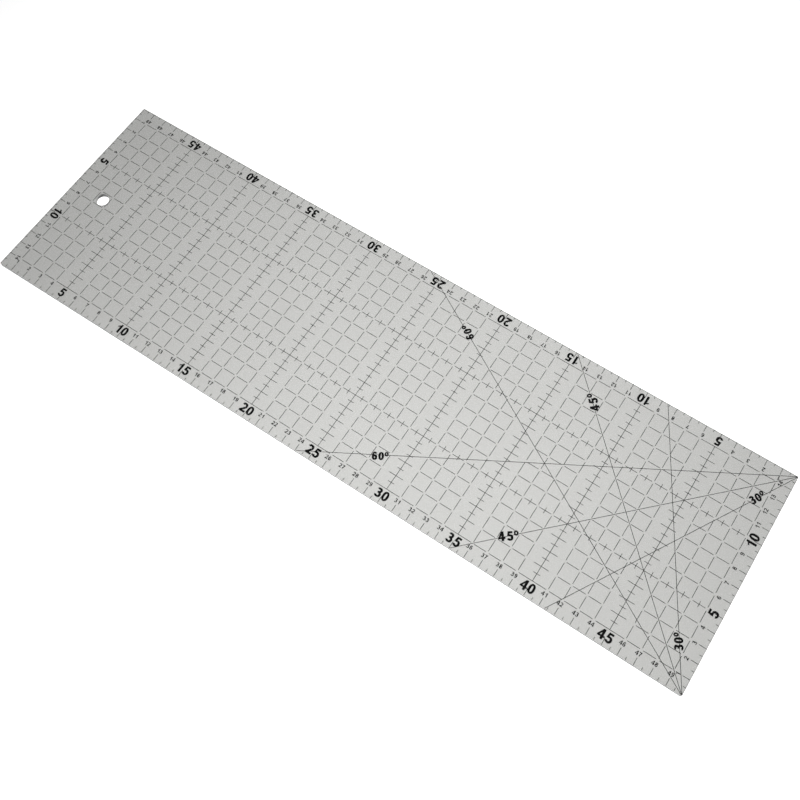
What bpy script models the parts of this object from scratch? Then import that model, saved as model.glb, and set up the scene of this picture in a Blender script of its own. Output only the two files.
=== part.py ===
"""Quilting ruler, 500 x 150 mm: a flat acrylic sheet with a hang hole, and the printed ink that stands on it.

The sheet lies on the XY plane with its underside at Z = 0 and its centre over the origin. X runs along the
length and Y across the width. The printed scale counts whole centimetres from the left short end and the front
long edge. Only ink that holds together as one connected film is a solid of its own: the nine ruled lines and the
angle lines.
"""

import math

import bmesh
import bpy
from mathutils import Matrix, Vector
from mathutils.geometry import delaunay_2d_cdt

MM = 0.001
CM = 0.01

# The sheet.
LENGTH = 500 * MM
WIDTH = 150 * MM
THICKNESS = 3 * MM
CORNER_RADIUS = 0.5 * MM
CORNER_STEPS = 4
EDGE_CHAMFER = 0.12 * MM
HOLE_DIAMETER = 9 * MM
HOLE_FROM_LEFT_END = 25 * MM
HOLE_SIDES = 64

# The ink. The angle lines are printed over the ruled lines, in a second pass.
INK_LINE_WIDTH = 0.32 * MM
INK_THICKNESS = 0.03 * MM
INK_GAP = 0.01 * MM
FIRST_PASS_Z = THICKNESS + INK_GAP
SECOND_PASS_Z = FIRST_PASS_Z + INK_THICKNESS + INK_GAP
INK_EDGE_MARGIN = 0.3 * MM

# The ruled lines, in centimetres of the printed scale.
SCALE_LENGTH = 50
SCALE_WIDTH = 15
RULED_EVERY = 5
LONG_TICK = 0.49
SHORT_TICK = 0.22
HALF_TICK_ON_ROW = 0.2
ROW_REACH = 0.9

# The angle lines. They leave the two right-hand corners. An angle counts from the short end, so a line leans
# by its complement from the long edge.
ANGLES = (60, 45, 30)
CORNER_DOT_INSET = 0.09
CORNER_DOT_RADIUS = 0.05
CORNER_DOT_SIDES = 16

FLAT_ANGLE = math.radians(1)
CDT_EPSILON = 1e-9
SOLID_FACES = 1


def along(scale_cm):
    """X of a place on the lengthwise scale."""
    return scale_cm * CM - LENGTH / 2


def across(scale_cm):
    """Y of a place on the crosswise scale."""
    return scale_cm * CM - WIDTH / 2


def clear_scene():
    for obj in list(bpy.data.objects):
        bpy.data.objects.remove(obj)


def plain_material(name, colour, roughness, transmission=0.0, ior=1.5):
    material = bpy.data.materials.new(name)
    material.use_nodes = True
    shader = material.node_tree.nodes["Principled BSDF"]
    shader.inputs["Base Color"].default_value = (*colour, 1)
    shader.inputs["Roughness"].default_value = roughness
    shader.inputs["Metallic"].default_value = 0
    shader.inputs["Transmission Weight"].default_value = transmission
    shader.inputs["IOR"].default_value = ior
    return material


def object_from(name, bm, material):
    """Closes the bmesh into a mesh object of one material."""
    bmesh.ops.recalc_face_normals(bm, faces=bm.faces)
    mesh = bpy.data.meshes.new(name)
    bm.to_mesh(mesh)
    bm.free()
    mesh.materials.append(material)
    obj = bpy.data.objects.new(name, mesh)
    bpy.context.scene.collection.objects.link(obj)
    return obj


def raise_faces(bm, height):
    """Turns the flat faces of the bmesh into a closed slab."""
    risen = bmesh.ops.extrude_face_region(bm, geom=list(bm.faces))["geom"]
    corners = [item for item in risen if isinstance(item, bmesh.types.BMVert)]
    bmesh.ops.translate(bm, verts=corners, vec=(0, 0, height))


# --- The sheet ---------------------------------------------------------------------------------------------


def rounded_outline():
    """The sheet's outline, anticlockwise, with a quarter arc at each corner."""
    points = []
    corners = ((1, 1, 0), (-1, 1, 90), (-1, -1, 180), (1, -1, 270))
    for side_x, side_y, start in corners:
        centre = Vector((side_x * (LENGTH / 2 - CORNER_RADIUS), side_y * (WIDTH / 2 - CORNER_RADIUS), 0))
        for step in range(CORNER_STEPS + 1):
            angle = math.radians(start + 90 * step / CORNER_STEPS)
            points.append(centre + CORNER_RADIUS * Vector((math.cos(angle), math.sin(angle), 0)))
    return points


def hole_cutter():
    bm = bmesh.new()
    place = Matrix.Translation((HOLE_FROM_LEFT_END - LENGTH / 2, 0, THICKNESS / 2))
    bmesh.ops.create_cone(
        bm,
        cap_ends=True,
        segments=HOLE_SIDES,
        radius1=HOLE_DIAMETER / 2,
        radius2=HOLE_DIAMETER / 2,
        depth=3 * THICKNESS,
        matrix=place,
    )
    mesh = bpy.data.meshes.new("hang_hole_cutter")
    bm.to_mesh(mesh)
    bm.free()
    cutter = bpy.data.objects.new("hang_hole_cutter", mesh)
    bpy.context.scene.collection.objects.link(cutter)
    cutter.hide_render = True
    cutter.display_type = "WIRE"
    return cutter


def acrylic_sheet(material):
    bm = bmesh.new()
    bm.faces.new([bm.verts.new(point) for point in rounded_outline()])
    raise_faces(bm, THICKNESS)
    sheet = object_from("acrylic_sheet", bm, material)

    hole = sheet.modifiers.new("hang_hole", "BOOLEAN")
    hole.operation = "DIFFERENCE"
    hole.solver = "EXACT"
    hole.object = hole_cutter()

    chamfer = sheet.modifiers.new("cut_edge_chamfer", "BEVEL")
    chamfer.width = EDGE_CHAMFER
    chamfer.segments = 1
    chamfer.limit_method = "ANGLE"
    chamfer.angle_limit = math.radians(60)
    return sheet


# --- The ink -----------------------------------------------------------------------------------------------


def film(name, outlines, base_z, material):
    """One closed film of ink that covers the union of the outlines, which are lists of (x, y) in metres."""
    points = []
    polygons = []
    for outline in outlines:
        first = len(points)
        points.extend(Vector(corner) for corner in outline)
        polygons.append(list(range(first, len(points))))
    corners, _, triangles, _, _, covered_by = delaunay_2d_cdt(
        points, [], polygons, SOLID_FACES, CDT_EPSILON, True
    )
    bm = bmesh.new()
    verts = [bm.verts.new((x, y, base_z)) for x, y in corners]
    for triangle, sources in zip(triangles, covered_by):
        if sources:
            bm.faces.new([verts[index] for index in triangle])
    loose = [vert for vert in verts if not vert.link_faces]
    bmesh.ops.delete(bm, geom=loose, context="VERTS")
    bmesh.ops.dissolve_limit(bm, angle_limit=FLAT_ANGLE, verts=bm.verts, edges=bm.edges)
    raise_faces(bm, INK_THICKNESS)
    return object_from(name, bm, material)


def rectangle(x, y, half_x, half_y):
    """A rectangle about a place on the scale. The half sizes are in centimetres."""
    left, right = along(x - half_x), along(x + half_x)
    front, back = across(y - half_y), across(y + half_y)
    return [(left, front), (right, front), (right, back), (left, back)]


def ruled_line(x, material):
    """The line across the sheet at a multiple of 5 cm, with the ticks and rows of the grid that cross it."""
    half_ink = INK_LINE_WIDTH / CM / 2
    first_row, last_row = 1, SCALE_WIDTH - 1
    middle = (first_row + last_row) / 2
    outlines = [rectangle(x, middle, half_ink, middle - first_row)]
    for half_cm in range(2 * first_row, 2 * last_row + 1):
        y = half_cm / 2
        on_row = y in (first_row, last_row) or y % RULED_EVERY == 0
        whole = half_cm % 2 == 0
        reach = ROW_REACH if on_row else LONG_TICK if whole else SHORT_TICK
        outlines.append(rectangle(x, y, reach, half_ink))
        if y % RULED_EVERY == 0:
            outlines.extend(rectangle(x + side / 2, y, half_ink, HALF_TICK_ON_ROW) for side in (-1, 1))
    return film(f"ruled_line_{x:02d}_cm", outlines, FIRST_PASS_Z, material)


def angle_line(angle, side):
    """The outline of a line from a right-hand corner, the back one for side 1 and the front one for side -1.

    It starts inside the corner's dot, and its far end is cut parallel to the sheet's edge.
    """
    corner = Vector((LENGTH / 2, side * WIDTH / 2))
    lean = math.radians(90 - angle)
    direction = Vector((-math.cos(lean), -side * math.sin(lean)))
    sideways = Vector((-direction.y, direction.x)) * INK_LINE_WIDTH / 2
    slant = direction * (sideways.y / direction.y)
    near = corner + direction * math.sqrt(2) * CORNER_DOT_INSET * CM
    far = corner + direction * (WIDTH - INK_EDGE_MARGIN) / math.sin(lean)
    return [near - sideways, far - sideways + slant, far + sideways - slant, near + sideways]


def corner_dot(side):
    """The dot where the three lines of a corner run together."""
    inset = CORNER_DOT_INSET * CM
    centre = Vector((LENGTH / 2 - inset, side * (WIDTH / 2 - inset)))
    turns = (math.tau * step / CORNER_DOT_SIDES for step in range(CORNER_DOT_SIDES))
    return [centre + CORNER_DOT_RADIUS * CM * Vector((math.cos(turn), math.sin(turn))) for turn in turns]


def angle_lines(material):
    """The six lines cross each other, so they and the two dots are one film."""
    outlines = []
    for side in (1, -1):
        outlines.append(corner_dot(side))
        outlines.extend(angle_line(angle, side) for angle in ANGLES)
    film("angle_lines", outlines, SECOND_PASS_Z, material)


def main():
    clear_scene()
    acrylic = plain_material("acrylic", (0.56, 0.57, 0.56), roughness=0.06, transmission=0.5, ior=1.49)
    ink = plain_material("black_ink", (0.012, 0.012, 0.013), roughness=0.45)
    acrylic_sheet(acrylic)
    for x in range(RULED_EVERY, SCALE_LENGTH, RULED_EVERY):
        ruled_line(x, ink)
    angle_lines(ink)


main()
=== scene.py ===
"""The looks of the quilting ruler: the rest of its print, the materials, a floor, soft light and a camera.

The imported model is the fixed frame: the sheet, the nine ruled lines and the angle lines. This script adds
the rest of the print: the dashes of the grid, the ticks along the edges, the numerals and the labels of the
angles. A place on the print is given in centimetres of its own scale, from the left short end and the front
long edge of the sheet.
"""

import math

import bmesh
import bpy
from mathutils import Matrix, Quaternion, Vector
from mathutils.geometry import delaunay_2d_cdt


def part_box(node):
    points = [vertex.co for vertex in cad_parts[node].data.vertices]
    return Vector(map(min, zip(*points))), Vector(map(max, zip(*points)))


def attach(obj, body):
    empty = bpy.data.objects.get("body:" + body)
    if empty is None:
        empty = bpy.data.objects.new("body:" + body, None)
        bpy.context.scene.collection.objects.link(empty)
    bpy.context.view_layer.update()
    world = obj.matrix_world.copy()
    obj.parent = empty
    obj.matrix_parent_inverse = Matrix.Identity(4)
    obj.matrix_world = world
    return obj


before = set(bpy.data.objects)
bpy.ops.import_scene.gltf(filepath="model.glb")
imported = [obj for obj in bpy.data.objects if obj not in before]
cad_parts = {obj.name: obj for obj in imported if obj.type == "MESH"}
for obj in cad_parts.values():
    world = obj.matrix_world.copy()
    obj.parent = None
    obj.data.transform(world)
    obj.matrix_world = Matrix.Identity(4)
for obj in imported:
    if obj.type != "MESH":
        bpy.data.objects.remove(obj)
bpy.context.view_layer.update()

CM = 0.01
MM = 0.001

# What the frame says. Most of the print is as high as the ruled lines, and the angle labels lie between
# those and the angle lines.
SHEET = "acrylic_sheet"
SHEET_LOW, SHEET_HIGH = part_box(SHEET)
FIRST_PASS_LOW, FIRST_PASS_HIGH = (corner.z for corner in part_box("ruled_line_05_cm"))
SECOND_PASS_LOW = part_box("angle_lines")[0].z
SCALE_LENGTH = round((SHEET_HIGH.x - SHEET_LOW.x) / CM)
SCALE_WIDTH = round((SHEET_HIGH.y - SHEET_LOW.y) / CM)
FIRST_PASS = (FIRST_PASS_LOW, FIRST_PASS_HIGH)
LABEL_CLEARANCE = 0.2 * (SECOND_PASS_LOW - FIRST_PASS_HIGH)
BETWEEN_PASSES = (FIRST_PASS_HIGH + LABEL_CLEARANCE, SECOND_PASS_LOW - LABEL_CLEARANCE)

# The grid and the ticks, in centimetres of the scale.
RULED_EVERY = 5
HALF_LINE = 0.016
DASH_REACH = 0.4
CROSS_TICK = 0.2
EDGE_MARGIN = 0.015
WHOLE_TICK = 0.48
HALF_TICK = 0.2

# The edge numerals, in centimetres of the scale: their height, the step from one digit to the next, and how
# far their middle is from the edge. A numeral of one digit is printed a little off the middle of its tick.
SMALL_CAP = 0.26
SMALL_PITCH = 0.205
SMALL_CENTRE = 0.735
LARGE_CAP = 0.625
LARGE_PITCH = 0.475
LARGE_CENTRE = 0.58
ONE_DIGIT_SHIFT = -0.03


# --- Ink as geometry ---------------------------------------------------------------------------------------
# The triangulation keeps the faces that the outlines cover, and takes points closer than its epsilon as one.

SOLID_FACES = 1
CDT_EPSILON = 1e-9
FLAT_ANGLE = math.radians(1)


def on_sheet(point):
    """A place on the printed scale, in metres of the frame."""
    return (SHEET_LOW.x + point[0] * CM, SHEET_LOW.y + point[1] * CM)


def anticlockwise(outline):
    """The outline in the order that the triangulation takes as solid."""
    pairs = zip(outline, outline[1:] + outline[:1])
    twice_area = sum(x * next_y - next_x * y for (x, y), (next_x, next_y) in pairs)
    return outline if twice_area > 0 else outline[::-1]


def without_shadow(piece):
    """Lets light through the piece to the floor, because print this fine throws no shadow that shows."""
    piece.visible_shadow = False
    piece.visible_diffuse = False


def film(name, outlines, heights, material):
    """One piece of ink between two heights that covers the union of the outlines."""
    points = []
    polygons = []
    for outline in outlines:
        polygons.append(list(range(len(points), len(points) + len(outline))))
        points.extend(Vector(on_sheet(corner)) for corner in anticlockwise(outline))
    corners, _, triangles, _, _, covered_by = delaunay_2d_cdt(
        points, [], polygons, SOLID_FACES, CDT_EPSILON, True
    )
    low, high = heights
    bm = bmesh.new()
    verts = [bm.verts.new((x, y, low)) for x, y in corners]
    for triangle, sources in zip(triangles, covered_by):
        if sources:
            bm.faces.new([verts[index] for index in triangle])
    bmesh.ops.delete(bm, geom=[vert for vert in verts if not vert.link_faces], context="VERTS")
    bmesh.ops.dissolve_limit(bm, angle_limit=FLAT_ANGLE, verts=bm.verts, edges=bm.edges)
    risen = bmesh.ops.extrude_face_region(bm, geom=list(bm.faces))["geom"]
    tops = [item for item in risen if isinstance(item, bmesh.types.BMVert)]
    bmesh.ops.translate(bm, verts=tops, vec=(0, 0, high - low))
    bmesh.ops.recalc_face_normals(bm, faces=bm.faces)
    mesh = bpy.data.meshes.new(name)
    bm.to_mesh(mesh)
    bm.free()
    mesh.materials.append(material)
    piece = bpy.data.objects.new(name, mesh)
    bpy.context.scene.collection.objects.link(piece)
    without_shadow(piece)
    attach(piece, "root")


def bar(x, y, half_x, half_y):
    """A rectangle about a place."""
    return [
        (x - half_x, y - half_y),
        (x + half_x, y - half_y),
        (x + half_x, y + half_y),
        (x - half_x, y + half_y),
    ]


# --- The grid ----------------------------------------------------------------------------------------------


def dashes_across(material):
    """The crosswise dashes, one in each cell of every whole centimetre that has no ruled line."""
    outlines = []
    for x in range(1, SCALE_LENGTH):
        if x % RULED_EVERY:
            outlines.extend(bar(x, y + 0.5, HALF_LINE, DASH_REACH) for y in range(1, SCALE_WIDTH - 1))
    film("grid_dashes_crosswise", outlines, FIRST_PASS, material)


def dashes_along(material):
    """The lengthwise dashes. The cells beside a ruled line have that line's own ticks and rows instead."""
    outlines = []
    for x in range(1, SCALE_LENGTH - 1):
        if x % RULED_EVERY in (0, RULED_EVERY - 1):
            continue
        for y in range(1, SCALE_WIDTH):
            outlines.append(bar(x + 0.5, y, DASH_REACH, HALF_LINE))
            if y % RULED_EVERY == 0:
                outlines.append(bar(x + 0.5, y, HALF_LINE, CROSS_TICK))
    film("grid_dashes_lengthwise", outlines, FIRST_PASS, material)


# --- Numerals ----------------------------------------------------------------------------------------------
# A numeral is drawn one cap height tall. A pen is the width of its upright strokes and of its level ones.

HEAVY = (0.265, 0.215)
BOLD = (0.24, 0.195)
MEDIUM = (0.2, 0.165)
DIGIT_WIDTH = 0.69

# A curve is an ellipse of this power, a little over a true one's 2, with a point every so many degrees.
ELLIPSE_POWER = 2.2
CURVE_STEP = 15


def curve(centre, radii, start, end):
    """Points anticlockwise along a slightly squared ellipse, between two angles in degrees."""
    steps = max(2, round((end - start) / CURVE_STEP))
    points = []
    for step in range(steps + 1):
        turn = math.radians(start + (end - start) * step / steps)
        level, upright = math.cos(turn), math.sin(turn)
        x = centre[0] + radii[0] * math.copysign(abs(level) ** (2 / ELLIPSE_POWER), level)
        y = centre[1] + radii[1] * math.copysign(abs(upright) ** (2 / ELLIPSE_POWER), upright)
        points.append((x, y))
    return points


def bow(pen, centre, radii, start, end):
    """A curved stroke whose outer side follows the given ellipse."""
    inner = (radii[0] - pen[0], radii[1] - pen[1])
    return curve(centre, radii, start, end) + curve(centre, inner, start, end)[::-1]


def ring(pen, centre, radii):
    """A closed curved stroke, in two halves."""
    return [bow(pen, centre, radii, -90, 90), bow(pen, centre, radii, 90, 270)]


def limb(path, width):
    """A steep stroke, as wide as given on the level."""
    left = [(x - width / 2, y) for x, y in path]
    right = [(x + width / 2, y) for x, y in path]
    return left + right[::-1]


def block(left, low, right, high):
    return [(left, low), (right, low), (right, high), (left, high)]


def zero(pen):
    return ring(pen, (0.345, 0.5), (0.33, 0.5))


def one(pen):
    right = 0.6
    left = right - pen[0]
    flag = [(left, 0.7), (0.33 - pen[1] / 3, 0.63), (0.15, 0.575), (0.15, 0.745), (0.3, 0.8), (0.41, 0.89)]
    return [[(left, 0), *flag, (right - 0.8 * pen[0], 1), (right, 1), (right, 0)]]


def two(pen):
    head = bow(pen, (0.345, 0.69), (0.325, 0.31), -30, 165)
    path = [(0.67 - 0.64 * pen[0], 0.57), (0.39, 0.38), (0.2, 0.2), (0.02 + 0.6 * pen[0], 0)]
    return [head, limb(path, 1.2 * pen[0]), block(0.02, 0, 0.68, 1.1 * pen[1])]


def three(pen):
    upper = bow(pen, (0.335, 0.735), (0.285, 0.265), -80, 162)
    lower = bow(pen, (0.34, 0.3), (0.33, 0.3), -165, 82)
    return [upper, lower, block(0.22, 0.53 - pen[1] / 2, 0.4, 0.53 + pen[1] / 2)]


def four(pen):
    right = 0.6
    stem = right - pen[0]
    slope = limb([(0.4 * pen[0], 0.33), (stem + 0.42 * pen[0], 1)], 0.8 * pen[0])
    return [block(stem, 0, right, 1), slope, block(0, 0.21, 0.74, 0.21 + 0.92 * pen[1])]


def five(pen):
    width = 0.85 * pen[0]
    neck = limb([(0.17 + width / 2, 0.985), (0.08 + width / 2, 0.46)], width)
    bowl = bow(pen, (0.365, 0.33), (0.335, 0.34), -165, 128)
    return [block(0.17, 0.985 - 1.05 * pen[1], 0.655, 0.985), neck, bowl]


def six(pen):
    return [*ring(pen, (0.35, 0.32), (0.315, 0.32)), bow(pen, (0.365, 0.5), (0.335, 0.5), 38, 230)]


def seven(pen):
    leg = limb([(0.68 - pen[0] / 2, 0.9), (0.43, 0.6), (0.32, 0.3), (0.28, 0)], pen[0])
    return [block(0.04, 0.985 - 1.05 * pen[1], 0.68, 0.985), leg]


def eight(pen):
    return ring(pen, (0.345, 0.74), (0.285, 0.26)) + ring(pen, (0.345, 0.29), (0.325, 0.29))


def nine(pen):
    """A six turned upside down."""
    return [[(DIGIT_WIDTH - x, 1 - y) for x, y in outline] for outline in six(pen)]


def degree(pen):
    """The small raised ring after an angle."""
    thin = (0.68 * pen[0], 0.78 * pen[1])
    return ring(thin, (0.19, 0.755), (0.235, 0.275))


GLYPHS = dict(zip("0123456789°", (zero, one, two, three, four, five, six, seven, eight, nine, degree)))


def written(text, pen, cap, pitch):
    """The outlines of a number in centimetres, about the middle of its digits at half of its height."""
    digits = sum(1 for character in text if character.isdigit())
    middle = ((digits - 1) * pitch + DIGIT_WIDTH * cap) / 2
    outlines = []
    for place, character in enumerate(text):
        for outline in GLYPHS[character](pen):
            outlines.append([(x * cap + place * pitch - middle, (y - 0.5) * cap) for x, y in outline])
    return outlines


def turned(outlines, centre, degrees):
    """The outlines turned anticlockwise and moved to their place on the scale."""
    level, upright = math.cos(math.radians(degrees)), math.sin(math.radians(degrees))
    return [
        [(centre[0] + x * level - y * upright, centre[1] + x * upright + y * level) for x, y in outline]
        for outline in outlines
    ]


# --- The edges ---------------------------------------------------------------------------------------------


class Edge:
    """One edge of the sheet, whose scale counts from start in the direction of degrees.

    Its numerals stand upright with the edge below them, and are printed shift centimetres off their ticks.
    """

    def __init__(self, name, start, degrees, length, shift):
        self.name = name
        self.start = start
        self.degrees = degrees
        self.length = length
        self.shift = shift

    def placed(self, outlines):
        """Outlines given along and in from the edge, as places on the scale."""
        return turned(outlines, self.start, self.degrees)

    def number(self, value, pen, cap, pitch, centre):
        """The outlines of a numeral, given along and in from the edge."""
        text = str(value)
        middle = value + self.shift + (ONE_DIGIT_SHIFT if len(text) == 1 else 0)
        return [[(x + middle, y + centre) for x, y in outline] for outline in written(text, pen, cap, pitch)]


EDGES = (
    Edge("front_edge", (0, 0), 0, SCALE_LENGTH, -0.045),
    Edge("right_end", (SCALE_LENGTH, 0), 90, SCALE_WIDTH, -0.02),
    Edge("back_edge", (SCALE_LENGTH, SCALE_WIDTH), 180, SCALE_LENGTH, -0.03),
    Edge("left_end", (0, SCALE_WIDTH), 270, SCALE_WIDTH, 0),
)


def tick(distance, length):
    """A tick given along and in from the edge."""
    return block(distance - HALF_LINE, EDGE_MARGIN, distance + HALF_LINE, length)


def edge_ticks(edge, material):
    """A long tick at each whole centimetre but the fifth ones, and a short tick halfway between."""
    outlines = [tick(whole, WHOLE_TICK) for whole in range(1, edge.length) if whole % RULED_EVERY]
    outlines += [tick(whole + 0.5, HALF_TICK) for whole in range(edge.length)]
    film(f"{edge.name}_ticks", edge.placed(outlines), FIRST_PASS, material)


def small_numerals(edge, material):
    """A numeral beyond the tick of each whole centimetre but the fifth ones."""
    outlines = []
    for value in range(1, edge.length):
        if value % RULED_EVERY:
            outlines += edge.number(value, MEDIUM, SMALL_CAP, SMALL_PITCH, SMALL_CENTRE)
    film(f"{edge.name}_small_numerals", edge.placed(outlines), FIRST_PASS, material)


def large_numerals(edge, material):
    """A bold numeral at every fifth centimetre, on its tick."""
    outlines = []
    for value in range(RULED_EVERY, edge.length, RULED_EVERY):
        outlines.append(tick(value, WHOLE_TICK))
        outlines += edge.number(value, BOLD, LARGE_CAP, LARGE_PITCH, LARGE_CENTRE)
    film(f"{edge.name}_large_numerals", edge.placed(outlines), FIRST_PASS, material)


# --- The angle labels --------------------------------------------------------------------------------------
# Each label lies over the grid and under its line, which runs on through it. A row gives its name and text,
# its height and the step between its digits, the middle of its digits, and the direction it reads in.

ANGLE_LABELS = (
    ("angle_label_60_front", "60°", 0.525, 0.4, (28.4, 2.45), 30),
    ("angle_label_60_back", "60°", 0.525, 0.415, (28.65, 12.37), 142),
    ("angle_label_45_front", "45°", 0.58, 0.48, (37.37, 2.41), 36.5),
    ("angle_label_45_back", "45°", 0.58, 0.475, (37.62, 12.45), 132),
    ("angle_label_30_front", "30°", 0.525, 0.39, (48.56, 2.41), 119),
    ("angle_label_30_back", "30°", 0.525, 0.39, (48.44, 12.36), 59),
)


def angle_labels(material):
    for name, text, cap, pitch, centre, degrees in ANGLE_LABELS:
        outlines = written(text, HEAVY, cap, pitch)
        film(name, turned(outlines, centre, degrees), BETWEEN_PASSES, material)


# --- Materials ---------------------------------------------------------------------------------------------

# Where a noise mostly lies.
NOISE_LOW = 0.3
NOISE_HIGH = 0.7

# The dark and the light tone of each surface.
FACE_TONES = ((0.494, 0.4955, 0.4875), (0.507, 0.5085, 0.5005))
WALL_TONES = ((0.43, 0.431, 0.425), (0.47, 0.471, 0.465))
INK_TONES = ((0.001, 0.001, 0.001), (0.003, 0.003, 0.0032))
FLOOR_TONES = ((0.79, 0.79, 0.79), (0.81, 0.81, 0.81))

# What one face of the sheet lets through of the light to and from the floor, and the index of refraction.
LIGHT_THROUGH = (0.705, 0.705, 0.7)
ACRYLIC_IOR = 1.49

# The upright part of the normal on the polished faces and on the cut walls, and how the noise of the cut
# marks is drawn out along Z.
FACE_NORMAL = 0.95
WALL_NORMAL = 0.6
CUT_MARK_STRETCH = (1, 1, 0.04)


def new_material(name):
    material = bpy.data.materials.new(name)
    material.use_nodes = True
    return material, material.node_tree, material.node_tree.nodes["Principled BSDF"]


def noise(tree, scale, detail, stretch=None):
    """A noise texture in metres of the object's own space. stretch scales each axis."""
    place = tree.nodes.new("ShaderNodeTexCoord").outputs["Object"]
    if stretch:
        mapping = tree.nodes.new("ShaderNodeMapping")
        mapping.inputs["Scale"].default_value = stretch
        tree.links.new(place, mapping.inputs["Vector"])
        place = mapping.outputs["Vector"]
    texture = tree.nodes.new("ShaderNodeTexNoise")
    texture.inputs["Scale"].default_value = scale
    texture.inputs["Detail"].default_value = detail
    tree.links.new(place, texture.inputs["Vector"])
    return texture.outputs["Fac"]


def spread(tree, value, low, high):
    """The usual range of a noise spread over low to high."""
    ranger = tree.nodes.new("ShaderNodeMapRange")
    ranger.inputs["From Min"].default_value = NOISE_LOW
    ranger.inputs["From Max"].default_value = NOISE_HIGH
    ranger.inputs["To Min"].default_value = low
    ranger.inputs["To Max"].default_value = high
    tree.links.new(value, ranger.inputs["Value"])
    return ranger.outputs["Result"]


def two_tones(tree, value, tones):
    """A colour that goes from the dark tone to the light one over the usual range of a noise."""
    ramp = tree.nodes.new("ShaderNodeValToRGB")
    for element, position, tone in zip(ramp.color_ramp.elements, (NOISE_LOW, NOISE_HIGH), tones):
        element.position = position
        element.color = (*tone, 1)
    tree.links.new(value, ramp.inputs["Fac"])
    return ramp.outputs["Color"]


def bump(tree, shader, height, strength, distance):
    node = tree.nodes.new("ShaderNodeBump")
    node.inputs["Strength"].default_value = strength
    node.inputs["Distance"].default_value = distance
    tree.links.new(height, node.inputs["Height"])
    tree.links.new(node.outputs["Normal"], shader.inputs["Normal"])


def let_through(tree, shader, ray):
    """The shader, except that rays of one kind go straight through the surface."""
    through = tree.nodes.new("ShaderNodeBsdfTransparent")
    through.inputs["Color"].default_value = (*LIGHT_THROUGH, 1)
    path = tree.nodes.new("ShaderNodeLightPath")
    mix = tree.nodes.new("ShaderNodeMixShader")
    tree.links.new(path.outputs[ray], mix.inputs["Fac"])
    tree.links.new(shader, mix.inputs[1])
    tree.links.new(through.outputs["BSDF"], mix.inputs[2])
    return mix.outputs["Shader"]


def cut_edges(tree):
    """1 on the cut walls and 0 on the polished faces, from the normal in the object's own space."""
    split = tree.nodes.new("ShaderNodeSeparateXYZ")
    tree.links.new(tree.nodes.new("ShaderNodeTexCoord").outputs["Normal"], split.inputs["Vector"])
    upright = tree.nodes.new("ShaderNodeMath")
    upright.operation = "ABSOLUTE"
    tree.links.new(split.outputs["Z"], upright.inputs[0])
    wall = tree.nodes.new("ShaderNodeMapRange")
    wall.inputs["From Min"].default_value = FACE_NORMAL
    wall.inputs["From Max"].default_value = WALL_NORMAL
    tree.links.new(upright.outputs["Value"], wall.inputs["Value"])
    return wall.outputs["Result"]


def blend(tree, kind, factor, first, second):
    """A number or a colour, as kind says, that goes from the first to the second with the factor."""
    mix = tree.nodes.new("ShaderNodeMix")
    mix.data_type = kind
    sources = [socket for socket in mix.inputs if socket.enabled]
    for source, socket in zip((factor, first, second), sources):
        tree.links.new(source, socket)
    return next(socket for socket in mix.outputs if socket.enabled)


def acrylic_material():
    """Smoke-grey clear acrylic, with faintly mottled, wavy faces and matt walls with upright cut marks.

    Light passes straight through it on its way to and from the floor, so no caustics are needed.
    """
    material, tree, shader = new_material("smoke_acrylic")
    wall = cut_edges(tree)
    face_tone = two_tones(tree, noise(tree, scale=12, detail=2), FACE_TONES)
    cut_marks = noise(tree, scale=2500, detail=3, stretch=CUT_MARK_STRETCH)
    wall_tone = two_tones(tree, cut_marks, WALL_TONES)
    tree.links.new(blend(tree, "RGBA", wall, face_tone, wall_tone), shader.inputs["Base Color"])
    shader.inputs["Transmission Weight"].default_value = 1.0
    shader.inputs["IOR"].default_value = ACRYLIC_IOR
    face_roughness = spread(tree, noise(tree, scale=150, detail=3), low=0.03, high=0.07)
    wall_roughness = spread(tree, cut_marks, low=0.25, high=0.4)
    tree.links.new(blend(tree, "FLOAT", wall, face_roughness, wall_roughness), shader.inputs["Roughness"])
    relief = blend(tree, "FLOAT", wall, noise(tree, scale=30, detail=2), cut_marks)
    bump(tree, shader, relief, strength=0.05, distance=0.2 * MM)
    clear = let_through(tree, shader.outputs["BSDF"], "Is Diffuse Ray")
    clear = let_through(tree, clear, "Is Shadow Ray")
    tree.links.new(clear, tree.nodes["Material Output"].inputs["Surface"])
    return material


def ink_material():
    """Matte black screen-printing ink, a little uneven where the screen left more or less of it."""
    material, tree, shader = new_material("screen_printed_ink")
    tone = two_tones(tree, noise(tree, scale=900, detail=5), INK_TONES)
    tree.links.new(tone, shader.inputs["Base Color"])
    shader.inputs["Specular IOR Level"].default_value = 0.04
    roughness = spread(tree, noise(tree, scale=2500, detail=4), low=0.4, high=0.65)
    tree.links.new(roughness, shader.inputs["Roughness"])
    bump(tree, shader, noise(tree, scale=4000, detail=3), strength=0.3, distance=0.02 * MM)
    return material


def floor_material():
    """A pale matt board with the faintest mottling."""
    material, tree, shader = new_material("pale_floor")
    tone = two_tones(tree, noise(tree, scale=2, detail=2), FLOOR_TONES)
    tree.links.new(tone, shader.inputs["Base Color"])
    shader.inputs["Roughness"].default_value = 0.9
    shader.inputs["Specular IOR Level"].default_value = 0.1
    return material


def dress_cad_nodes(acrylic, ink):
    """The CAD nodes keep their shapes and get the finished materials."""
    for name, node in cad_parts.items():
        if name == SHEET:
            material, slot_name = acrylic, "acrylic"
        else:
            material, slot_name = ink, "black_ink"
            without_shadow(node)
        for slot in node.material_slots:
            slot.material = material


# --- Floor, light and camera -------------------------------------------------------------------------------
# Lengths are in metres, the power is in watts, the lens and sensor in millimetres, and angles in degrees.

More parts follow.
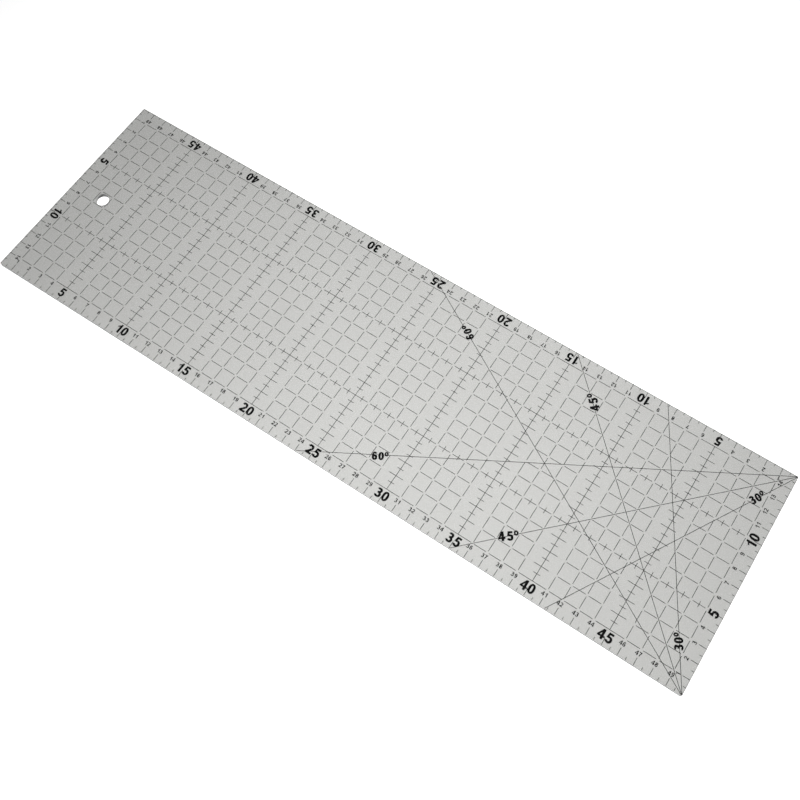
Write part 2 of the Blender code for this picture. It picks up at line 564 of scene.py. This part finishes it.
FLOOR_HALF = 4.0
FLOOR_DROP = 0.1 * MM
AMBIENT = 0.75
KEY_PLACE = (0.059, -0.038, 0.34)
KEY_SIZE = 0.45
KEY_POWER = 4.25
CAMERA_AIM = (0.025, -0.0128)
CAMERA_DISTANCE = 0.6098
CAMERA_BEARING = -54.3
CAMERA_RISE = 67.0
CAMERA_ROLL = -2.39
CAMERA_LENS = 44.6
CAMERA_SENSOR = 36
CAMERA_CLIP = 0.01


def floor():
    """A wide square just below the sheet, so that it doesn't share the underside's plane."""
    bm = bmesh.new()
    height = SHEET_LOW.z - FLOOR_DROP
    corners = ((-1, -1), (1, -1), (1, 1), (-1, 1))
    bm.faces.new([bm.verts.new((x * FLOOR_HALF, y * FLOOR_HALF, height)) for x, y in corners])
    mesh = bpy.data.meshes.new("floor")
    bm.to_mesh(mesh)
    bm.free()
    mesh.materials.append(floor_material())
    piece = bpy.data.objects.new("floor", mesh)
    bpy.context.scene.collection.objects.link(piece)


def studio_light():
    """Even light from all round, and one soft lamp above the ruler that isn't seen in it or through it."""
    world = bpy.data.worlds.new("studio")
    world.use_nodes = True
    backdrop = world.node_tree.nodes["Background"]
    backdrop.inputs["Color"].default_value = (1, 1, 1, 1)
    backdrop.inputs["Strength"].default_value = AMBIENT
    bpy.context.scene.world = world

    lamp = bpy.data.lights.new("key", "AREA")
    lamp.shape = "DISK"
    lamp.size = KEY_SIZE
    lamp.energy = KEY_POWER
    key = bpy.data.objects.new("key", lamp)
    key.location = KEY_PLACE
    key.visible_glossy = False
    key.visible_transmission = False
    key.visible_camera = False
    bpy.context.scene.collection.objects.link(key)


def camera():
    """A camera that looks steeply down at the sheet from its front right, rolled a little."""
    aim = Vector((*CAMERA_AIM, SHEET_HIGH.z))
    bearing, rise = math.radians(CAMERA_BEARING), math.radians(CAMERA_RISE)
    level = Vector((math.cos(bearing), math.sin(bearing), 0))
    outward = level * math.cos(rise) + Vector((0, 0, math.sin(rise)))
    eye = bpy.data.objects.new("camera", bpy.data.cameras.new("camera"))
    eye.data.lens = CAMERA_LENS
    eye.data.sensor_width = CAMERA_SENSOR
    eye.location = aim + outward * CAMERA_DISTANCE
    roll = Quaternion((0, 0, 1), math.radians(CAMERA_ROLL))
    eye.rotation_mode = "QUATERNION"
    eye.rotation_quaternion = (-outward).to_track_quat("-Z", "Y") @ roll
    eye.data.clip_start = CAMERA_CLIP
    bpy.context.scene.collection.objects.link(eye)
    bpy.context.scene.camera = eye


def main():
    acrylic = acrylic_material()
    ink = ink_material()
    dress_cad_nodes(acrylic, ink)
    dashes_across(ink)
    dashes_along(ink)
    for edge in EDGES:
        edge_ticks(edge, ink)
        small_numerals(edge, ink)
        large_numerals(edge, ink)
    angle_labels(ink)
    floor()
    studio_light()
    camera()
    bpy.context.scene.view_settings.view_transform = "Standard"
    bpy.context.view_layer.update()


main()
